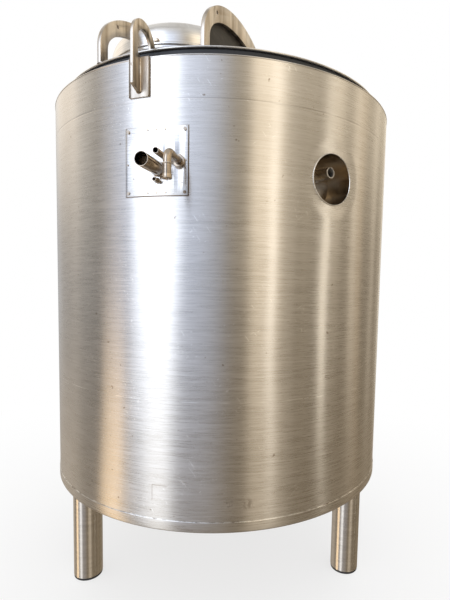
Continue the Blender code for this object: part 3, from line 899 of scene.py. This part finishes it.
class TANK_OT_arches(Piece, bpy.types.Operator):
    """Model the two arched lifting plates and the welds at their feet"""

    bl_idname = "tank.arches"
    bl_label = "Arched plates"

    def build(self, sizes):
        inner_half, inner_crown = ARCH_HALF - ARCH_LIMB, ARCH_CROWN - ARCH_BAND
        outline = self.limbs(ARCH_HALF, ARCH_CROWN) + self.limbs(inner_half, inner_crown)[::-1]
        hole = outward(ARCH_AZIMUTH) * (ARCH_HALF - ARCH_HOLE_EDGE) * math.cos(ARCH_HOLE_TURN)
        hole += UP * (ARCH_STRAIGHT + (ARCH_CROWN - ARCH_HOLE_EDGE) * math.sin(ARCH_HOLE_TURN))
        welds = []
        for side, (across, forward) in ARCH_PLACES.items():
            foot = DOME.axis + UP * (LID.high + GAP)
            foot += sideways(ARCH_AZIMUTH) * across + outward(ARCH_AZIMUTH) * forward
            made = plate(outline, foot, ARCH_AZIMUTH, ARCH_PLATE)
            add_cylinder(24, ARCH_HOLE, 0.1, foot + hole, (0.0, math.pi / 2, ARCH_AZIMUTH))
            cut_with_active(made)
            if side == "left":
                self.cope(made, sizes)
            soften(sizes.plate_edge)
            finish_piece("arch_plate_" + side, "arch", "arch_" + side)
            # Behind the right arch stands a thin near-black sheet: painted shade for the shadow seen through
            # its opening
            if side == "right":
                behind = foot - sideways(ARCH_AZIMUTH) * ((ARCH_PLATE + SHADE_SHEET_PLATE) / 2 + GAP)
                closed = self.limbs(inner_half + SHADE_SHEET_LAP, inner_crown + SHADE_SHEET_LAP)
                plate(closed, behind, ARCH_AZIMUTH, SHADE_SHEET_PLATE)
                soften(SHADE_SHEET_PLATE / 5)
                finish_piece("arch_shade_sheet", "backing", "arch_web")
            welds += self.foot_welds(foot, inner_half, sizes)
        join_all(welds)
        finish_piece("arch_welds", "weld")

    def limbs(self, half, crown):
        """A half ellipse on two straight limbs."""
        return [(half, 0.0), *arc((0.0, ARCH_STRAIGHT), (half, crown), 0, 180, 56), (-half, 0.0)]

    def cope(self, made, sizes):
        """Cuts the left plate to the domed cover."""
        radius = DOME.radius + GAP
        profile = [*dome_profile(radius, DOME.high - DOME.low + GAP), (radius, RIM), (0.0, RIM)]
        turn_profile(profile, DOME.axis, 2 * sizes.part_sides)
        cut_with_active(made)

    def foot_welds(self, foot, inner_half, sizes):
        """A bead along each side of each foot that stands clear of the cover."""
        made = []
        for end in (-1, 1):
            for face in (-1, 1):
                off = sideways(ARCH_AZIMUTH) * face * (ARCH_PLATE / 2 + 0.0008)
                line = [foot + off + outward(ARCH_AZIMUTH) * end * u for u in (inner_half, ARCH_HALF)]
                if min((point - DOME.axis - UP * point.z).length for point in line) > FLANGE.radius:
                    made.append(bead(line, sizes.weld_radius, sizes))
        return made


class TANK_OT_lugs(Piece, bpy.types.Operator):
    """Model the staple lugs over the rim, their backing pads and welds"""

    bl_idname = "tank.lugs"
    bl_label = "Lifting lugs"

    def build(self, sizes):
        root = RADIUS + 2 * GAP + PAD_PLATE
        centre = root + STAPLE_STAND - STAPLE_HALF
        middle = (centre, STAPLE_RISE - STAPLE_HALF)
        inner_half, foot = STAPLE_HALF - STAPLE_BAND, LID.high + GAP - RIM
        outline = [(root, STAPLE_SHOULDER), (root, -STAPLE_DROP - STAPLE_CHAMFER)]
        outline.append((root + STAPLE_STAND, -STAPLE_DROP))
        outline += arc(middle, (STAPLE_HALF, STAPLE_HALF), 0, 180, 40)
        outline += [(centre - STAPLE_HALF, foot), (centre - inner_half, foot)]
        outline += arc(middle, (inner_half, inner_half), 180, 0, 32)
        outline.append((centre + inner_half, STAPLE_SHOULDER))
        runs = [[(root + BEAD_LIFT, z) for z in (-0.006, -STAPLE_DROP - STAPLE_CHAMFER * 0.7)]]
        runs.append([(u, foot + PROUD) for u in (centre - STAPLE_HALF, centre - inner_half)])
        for name, azimuth in (("front", LUG_AZIMUTH), ("rear", LUG_AZIMUTH + REAR)):
            plate(outline, AXIS + UP * RIM, azimuth, STAPLE_PLATE)
            soften(sizes.plate_edge)
            finish_piece("lug_" + name, "lug", "lifting_lug_" + name)
            self.pad(name, azimuth)
            welds = []
            for side in (-1, 1):
                start = AXIS + sideways(azimuth) * side * (STAPLE_PLATE / 2 + BEAD_LIFT) + UP * RIM
                lines = [[start + outward(azimuth) * u + UP * z for u, z in run] for run in runs]
                welds += [bead(line, sizes.weld_radius, sizes) for line in lines]
            join_all(welds)
            finish_piece("lug_welds_" + name, "weld")

    def pad(self, name, azimuth):
        """A bent backing plate with its two upright edges folded out."""
        low, high = PAD_HEIGHTS
        back = RADIUS + GAP
        face = back + PAD_PLATE
        pieces = [bent_plate(azimuth, PAD_WIDTH, strip(back, face, low, high), 10)]
        soften(0.0008)
        root, lip = face - PROUD, face + 0.0035
        fold = [(root, low), (lip, low + 0.002), (lip, high - 0.004), (root, high)]
        for end in (-1, 1):
            turn = azimuth + end * (PAD_WIDTH / 2 - PAD_FOLD / 2) / RADIUS
            pieces.append(bent_plate(turn, PAD_FOLD, fold, 1))
            soften(0.0005)
        join_all(pieces)
        finish_piece("lug_backing_" + name, "lug", "lug_pad_" + name)


class TANK_OT_panel(Piece, bpy.types.Operator):
    """Model the square connection panel, its screws and its rivets"""

    bl_idname = "tank.panel"
    bl_label = "Connection panel"

    def build(self, sizes):
        back = RADIUS + GAP
        sheet = bent_plate(PANEL_AZIMUTH, PANEL_SIDE, strip(back, back + PANEL_PLATE, *PANEL_HEIGHTS), 24)
        holes = [(radius, azimuth, height) for radius, azimuth, _, height in STRAIGHT_PIPES.values()]
        for radius, azimuth, height in [*holes, (ELBOW_RADIUS, ELBOW_AZIMUTH, ELBOW_Z)]:
            bore(sheet, radius + GAP, azimuth, RADIUS, CUT_REACH, height)
        soften(0.0007, 2, 60.0)
        finish_piece("panel_sheet", "panel", "service_panel", crease=25.0)
        edge, middle = PANEL_SIDE / 2 - 0.0095, sum(PANEL_HEIGHTS) / 2
        row = edge + 0.001
        screws = [(u, v) for u in (-edge, edge) for v in (-edge, edge)]
        rivets = [(u, row) for u in (-0.0237, 0.0028, 0.0288)]
        rivets += [(u, -row) for u in (-0.0237, 0.0034, 0.0297)]
        rivets += [(-edge - 0.002, -0.006), (edge + 0.003, 0.001)]
        heads = [self.head(u, middle + v, sizes.screw_radius, True) for u, v in screws]
        heads += [self.head(u, middle + v, sizes.rivet_radius, False) for u, v in rivets]
        join_all(heads)
        finish_piece("panel_screws", "pipe", slot="brushed_steel")

    def head(self, across, height, radius, recessed):
        """A domed head on the panel, with a recess in the large ones."""
        azimuth = PANEL_AZIMUTH + across / RADIUS
        out, tall = outward(azimuth), radius * 0.62
        place = AXIS + out * (RADIUS + GAP + PANEL_PLATE + tall / 2 - 0.0002) + UP * height
        made = add_cylinder(24, radius, tall, place, (math.pi / 2, 0.0, azimuth))
        apply_place()
        for polygon in made.data.polygons:
            polygon.select = polygon.normal.dot(out) > 0.9
        bpy.ops.object.mode_set(mode="EDIT")
        bpy.ops.mesh.select_mode(type="FACE")
        rings = [(0.22, 0.35), (0.28, 0.10)]
        if recessed:
            rings.append((0.06, -0.55))
        for inset, rise in rings:
            bpy.ops.mesh.inset(thickness=radius * inset)
            bpy.ops.transform.translate(value=out * tall * rise)
        bpy.ops.mesh.select_mode(type="VERT")
        leave_edit()
        return made


class TANK_OT_pipes(Piece, bpy.types.Operator):
    """Model the pipes in the panel, the collar, the ferrule and the welds"""

    bl_idname = "tank.pipes"
    bl_label = "Pipes"

    def build(self, sizes):
        face = RADIUS + GAP + PANEL_PLATE
        welds = []
        for name, (radius, azimuth, reach, height) in STRAIGHT_PIPES.items():
            pipe(level_line(azimuth, height, PIPE_ROOT, RADIUS + reach), radius, PIPE_WALL)
            finish_piece(name + "_tube", "pipe", name, crease=40.0)
            ring = circle_on_shell(azimuth, height, radius + BEAD_LIFT, face + PROUD)
            welds.append(bead(ring, 0.0013, sizes))
        turn = RADIUS + ELBOW_REACH
        self.bent_pipe(turn)
        self.collar(face + GAP, sizes.part_sides)
        inner, low = ELBOW_RADIUS + GAP, ELBOW_Z - ELBOW_FALL
        top = low + FERRULE_LENGTH
        profile = [(inner, low), (inner, top), (inner + 0.0006, top), (inner + 0.0009, low + 0.006)]
        profile += arc((FERRULE_RADIUS - 0.001, low + 0.0022), (0.001, 0.0014), 60, -80, EDGE_STEPS)
        axis = AXIS + outward(ELBOW_AZIMUTH) * turn
        turn_profile(profile, axis, sizes.part_sides)
        finish_piece("ferrule_ring", "pipe", "elbow_ferrule")
        ring = level_ring(axis + UP * (ELBOW_Z - ELBOW_BEND - 0.009), ELBOW_RADIUS, 36)
        welds.append(bead(ring, 0.0019, sizes))
        join_all(welds)
        finish_piece("pipe_welds", "weld")

    def bent_pipe(self, turn):
        """Out of the panel, round a quarter bend and down."""
        path = [(PIPE_ROOT, 0.0)]
        path += arc((turn - ELBOW_BEND, -ELBOW_BEND), (ELBOW_BEND, ELBOW_BEND), 90, 0, 16)
        path.append((turn, -ELBOW_FALL))
        line = [AXIS + outward(ELBOW_AZIMUTH) * d + UP * (ELBOW_Z + z) for d, z in path]
        pipe(line, ELBOW_RADIUS, PIPE_WALL)
        finish_piece("elbow_tube", "pipe", "elbow_pipe", crease=40.0)

    def collar(self, near, sides):
        """A short ring round the level stretch of the bent pipe."""
        edge, inner = 0.0015, ELBOW_RADIUS + GAP
        rounded = arc((COLLAR_RADIUS - edge, COLLAR_LENGTH - edge), (edge, edge), 0, 90, PART_STEPS)
        profile = [(inner, 0.0), (COLLAR_RADIUS, 0.0), *rounded, (inner, COLLAR_LENGTH)]
        ring = turn_profile(profile, Vector(), sides)
        apply_place()
        ring.rotation_euler = (math.pi / 2, 0.0, ELBOW_AZIMUTH)
        ring.location = level_line(ELBOW_AZIMUTH, ELBOW_Z, near)[0]
        finish_piece("collar_ring", "pipe", "elbow_collar")


class TANK_OT_recess(Piece, bpy.types.Operator):
    """Model the round well in the cladding, its rim and the nozzle in it"""

    bl_idname = "tank.recess"
    bl_label = "Recess"

    def build(self, sizes):
        outer, wall = RECESS_RADIUS - GAP, VESSEL.radius
        well = sweep(level_line(RECESS_AZIMUTH, RECESS_Z, wall - 0.01, RADIUS + 0.01), outer, 22)
        use_modifier("SOLIDIFY", thickness=RECESS_WALL, offset=-1.0)
        near, far, reach = wall + GAP, RADIUS + PROUD, 0.2
        turn_profile(strip(near, far, RECESS_Z - reach, RECESS_Z + reach), AXIS, sizes.shell_sides)
        cut_with_active(well, "INTERSECT")
        finish_piece("recess_well", "well", "recess_sleeve", crease=40.0)
        ring = circle_on_shell(RECESS_AZIMUTH, RECESS_Z, outer - RECESS_WALL / 2, RADIUS + BEAD_LIFT, 96)
        bead(ring, FINE_BEAD, sizes)
        finish_piece("recess_rim", "dome")
        pipe(level_line(NOZZLE_AZIMUTH, NOZZLE_Z, wall - 0.002, NOZZLE_END), NOZZLE_RADIUS, NOZZLE_WALL)
        finish_piece("recess_spigot", "dome", "recess_nozzle", crease=40.0)
        ring = circle_on_shell(NOZZLE_AZIMUTH, NOZZLE_Z, NOZZLE_RADIUS + BEAD_LIFT, wall + BEAD_LIFT)
        bead(ring, FINE_BEAD, sizes)
        finish_piece("spigot_weld", "weld", slot="polished_steel")


class TANK_OT_vessel(Piece, bpy.types.Operator):
    """Model the inner vessel's wall and finish the solids that stay hidden"""

    bl_idname = "tank.vessel"
    bl_label = "Inner vessel"

    def build(self, sizes):
        inner, outer, low, high = VESSEL.radius - VESSEL_WALL, VESSEL.radius, VESSEL.low, VESSEL.high
        profile = [(inner, low), (inner, high), (outer, high), (outer, (low + high) / 2), (outer, low)]
        shell = turn_profile(profile, AXIS, sizes.shell_sides)
        bore(shell, NOZZLE_RADIUS - NOZZLE_WALL, NOZZLE_AZIMUTH, outer, CUT_REACH, NOZZLE_Z)
        finish_piece("vessel_shell", "well", "vessel_wall", crease=25.0)
        for name, finish in (("vessel_bottom", "well"), ("vessel_skirt", "sheet")):
            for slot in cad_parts[name].material_slots:
                slot.material = FINISHES[finish]


class TANK_OT_legs(Piece, bpy.types.Operator):
    """Model the legs, their top plates, welds and black feet"""

    bl_idname = "tank.legs"
    bl_label = "Legs"

    def build(self, sizes):
        for side in ("left", "right", "rear"):
            leg, top, foot = (turned(node + side) for node in ("leg_", "leg_plate_", "foot_"))
            inner, edge = leg.radius - SHEET, 0.001
            turn_profile([
                (inner, leg.low), (inner, leg.high), (leg.radius, leg.high), (leg.radius, leg.low + edge),
                (leg.radius - edge, leg.low),
            ], leg.axis, sizes.part_sides)
            finish_piece("leg_tube_" + side, "leg", "leg_" + side)
            outer, edge = top.radius, 0.0015
            turn_profile([
                (0.0, top.high), (outer - edge, top.high), (outer, top.high - edge), (outer, top.low + edge),
                (outer - edge, top.low), (0.0, top.low),
            ], leg.axis, sizes.part_sides)
            finish_piece("leg_flange_" + side, "leg", "leg_plate_" + side)
            bead(level_ring(leg.axis + UP * (leg.high - BEAD_LIFT), leg.radius, 48), sizes.weld_radius, sizes)
            finish_piece("leg_weld_" + side, "weld", slot="brushed_steel")
            outer, edge = foot.radius, 0.002
            rounded = arc((outer - edge, foot.low + edge), (edge, edge), 0, -90, PART_STEPS)
            profile = [(0.0, foot.high), (outer, foot.high), *rounded, (0.0, foot.low)]
            turn_profile(profile, leg.axis, sizes.part_sides)
            finish_piece("leg_cap_" + side, "rubber", "foot_" + side)


WHITE = (1.0, 1.0, 1.0)
# Soft boxes round the tank: middle, half width and softness in degrees, colour,
# and the strength seen above, level with and below the horizon
SOFT_BOXES = (
    (-44.0, 6.0, 14.0, (0.93, 1.00, 1.09), (2.0, 1.95, 0.0)),
    (-42.0, 1.0, 12.0, (0.98, 1.00, 1.01), (0.0, 0.0, 1.20)),
    (-40.0, 10.0, 38.0, (0.68, 0.86, 1.24), (1.25, 0.74, 0.06)),
    (-76.0, 7.0, 3.0, (1.28, 0.94, 0.56), (0.0, 0.0, 1.45)),
    (-103.0, 3.0, 12.0, (1.00, 0.98, 0.95), (0.42, 0.06, 0.0)),
    (-124.0, 8.0, 15.0, (1.08, 0.96, 0.82), (0.95, 0.16, 0.24)),
    (27.5, 6.0, 8.0, (1.08, 0.95, 0.76), (1.28, 0.78, 0.36)),
    (32.0, 1.0, 2.5, (1.02, 1.00, 0.95), (0.55, 1.60, 0.10)),
    (43.0, 2.0, 5.0, (1.05, 0.95, 0.80), (0.20, 0.36, 0.12)),
    (55.0, 0.8, 3.0, (1.05, 0.93, 0.74), (0.25, 0.14, 0.06)),
    (69.0, 1.2, 2.2, (1.05, 0.98, 0.85), (0.25, 2.60, 0.16)),
    (79.0, 2.0, 3.5, (1.08, 0.95, 0.76), (1.10, 0.16, 0.0)),
    (97.0, 1.5, 3.0, (1.10, 0.98, 0.80), (0.95, 0.62, 0.16)),
    (104.0, 1.0, 3.0, (1.15, 0.90, 0.62), (0.50, 0.40, 0.10)),
    (124.0, 1.5, 3.0, (1.08, 0.96, 0.78), (0.90, 0.30, 0.24)),
    (138.0, 0.8, 2.0, (1.10, 0.95, 0.72), (0.50, 0.20, 0.10)),
    (149.0, 1.5, 4.0, (1.05, 0.98, 0.85), (0.90, 0.60, 0.30)),
    (-170.0, 24.0, 14.0, (1.00, 0.99, 0.97), (0.60, 0.22, 0.12)),
)
# Dim room light on the left and on the right, at the same three heights
AMBIENT = (
    ((0.64, 0.60, 0.54), (0.33, 0.33, 0.34), (0.38, 0.32, 0.25)),
    ((0.82, 0.71, 0.54), (0.35, 0.29, 0.215), (0.25, 0.19, 0.12)),
)
CEILING = (0.92, 0.91, 0.89)
GROUND = (0.46, 0.40, 0.33)

# The camera, from the photo's fitted viewpoint
CAMERA_PLACE = (0.0, AXIS.y - 1.8272, 1.0934)
CAMERA_TILT = math.radians(-4.32)
CAMERA_PAN = math.radians(-3.73)
CAMERA_ROLL = math.radians(1.11)
CAMERA_LENS = 25.63
CAMERA_SHIFT = (-0.0417, 0.0243)


def light_world():
    """Soft boxes on a dim room for what the steel mirrors, and plain white for all else."""
    world = bpy.data.worlds.new("studio")
    bench = Bench(world)
    direction = bench.node("ShaderNodeTexCoord", {}, {}, "Generated")
    rise = bench.parts(direction)[2]
    level = bench.vector("NORMALIZE", bench.vector("MULTIPLY", direction, (1.0, 1.0, 0.0)))
    above, below = bench.step(rise, 0.02, 0.42), bench.step(rise, -0.02, -0.42)
    rightward = bench.step(bench.reading("DOT_PRODUCT", level, tuple(outward(math.pi / 2))), -0.12, 0.30)
    sides = [bench.mix(below, bench.mix(above, even, high), low) for high, even, low in AMBIENT]
    total = bench.mix(rightward, *sides)
    for azimuth, half, soft, tint, (high, even, low) in SOFT_BOXES:
        facing = bench.reading("DOT_PRODUCT", level, tuple(outward(math.radians(azimuth))))
        inside, outside = (math.cos(math.radians(angle)) for angle in (half, half + soft))
        strength = even + above * (high - even) + below * (low - even)
        share = bench.step(facing, outside, inside) * strength
        lit = bench.node("ShaderNodeVectorMath", {"operation": "SCALE"}, {0: tint, "Scale": share})
        total = bench.vector("ADD", total, lit)
    total = bench.mix(bench.step(rise, 0.60, 0.90), total, CEILING)
    total = bench.mix(bench.step(rise, -0.60, -0.90), total, GROUND)
    mirrored = Number(bench, bench.node("ShaderNodeLightPath", {}, {}, "Is Glossy Ray"))
    shown = bench.mix(mirrored, WHITE, total)
    glow = bench.node("ShaderNodeBackground", {}, {"Color": shown, "Strength": 1.0})
    bench.node("ShaderNodeOutputWorld", {}, {"Surface": glow})
    bpy.context.scene.world = world


def pale_floor():
    """A level floor that fades into the white backdrop away from the tank."""
    start_clean()
    bpy.ops.mesh.primitive_circle_add(vertices=96, radius=9.0, fill_type="NGON", location=(0.0, 0.0, 0.0))
    floor = bpy.context.object
    floor.name = "studio_floor"
    bench, point = new_material("pale_floor")
    paint = bench.mix(bench.even_noise(point, 6.0, 3.0), (0.90, 0.90, 0.90), (0.93, 0.93, 0.93))
    matt = bench.node("ShaderNodeBsdfDiffuse", {}, {"Color": paint})
    white = bench.node("ShaderNodeEmission", {}, {"Color": (*WHITE, 1.0), "Strength": 1.0})
    share = bench.step(bench.reading("DISTANCE", point, tuple(AXIS)), 0.5, 2.4) * 0.28 + 0.72
    blend = bench.node("ShaderNodeMixShader", {}, {0: share, 1: matt, 2: white})
    bench.node("ShaderNodeOutputMaterial", {}, {"Surface": blend})
    floor.data.materials.append(bench.owner)
    floor.visible_glossy = False


class TANK_OT_stage(bpy.types.Operator):
    """Set up the floor, the light and the camera"""

    bl_idname = "tank.stage"
    bl_label = "Stage"

    def execute(self, context):
        pale_floor()
        light_world()
        start_clean()
        bpy.ops.object.camera_add(location=CAMERA_PLACE)
        camera = bpy.context.object
        camera.name = "photo_camera"
        pan, roll = (Matrix.Rotation(angle, 3, "Z") for angle in (CAMERA_PAN, CAMERA_ROLL))
        tilt = Matrix.Rotation(math.pi / 2 + CAMERA_TILT, 3, "X")
        camera.rotation_euler = (pan @ tilt @ roll).to_euler()
        camera.data.lens = CAMERA_LENS
        camera.data.shift_x, camera.data.shift_y = CAMERA_SHIFT
        context.scene.camera = camera
        context.scene.view_settings.view_transform = "Standard"
        return {"FINISHED"}


PIECE_OPERATORS = (
    TANK_OT_cladding, TANK_OT_base, TANK_OT_top, TANK_OT_manway, TANK_OT_arches, TANK_OT_lugs,
    TANK_OT_panel, TANK_OT_pipes, TANK_OT_recess, TANK_OT_vessel, TANK_OT_legs, TANK_OT_stage,
)


class TANK_PT_sidebar(bpy.types.Panel):
    """Lists the pieces of the tank"""

    bl_idname = "TANK_PT_sidebar"
    bl_label = "Storage tank"
    bl_space_type = "VIEW_3D"
    bl_region_type = "UI"
    bl_category = "Tank"

    def draw(self, context):
        layout = self.layout
        for group in (context.scene.tank_sizes, context.scene.tank_colours):
            box = layout.box()
            for name in group.__annotations__:
                box.prop(group, name)
        for operator in PIECE_OPERATORS:
            layout.operator(operator.bl_idname)


CLASSES = (TankSizes, TankColours, *PIECE_OPERATORS, TANK_PT_sidebar)


def register():
    for cls in CLASSES:
        bpy.utils.register_class(cls)
    bpy.types.Scene.tank_sizes = PointerProperty(type=TankSizes)
    bpy.types.Scene.tank_colours = PointerProperty(type=TankColours)


def unregister():
    del bpy.types.Scene.tank_colours
    del bpy.types.Scene.tank_sizes
    for cls in reversed(CLASSES):
        bpy.utils.unregister_class(cls)


def main():
    register()
    make_finishes(bpy.context.scene.tank_colours)
    for operator in PIECE_OPERATORS:
        group, name = operator.bl_idname.split(".")
        getattr(getattr(bpy.ops, group), name)()


if __name__ == "__main__":
    main()
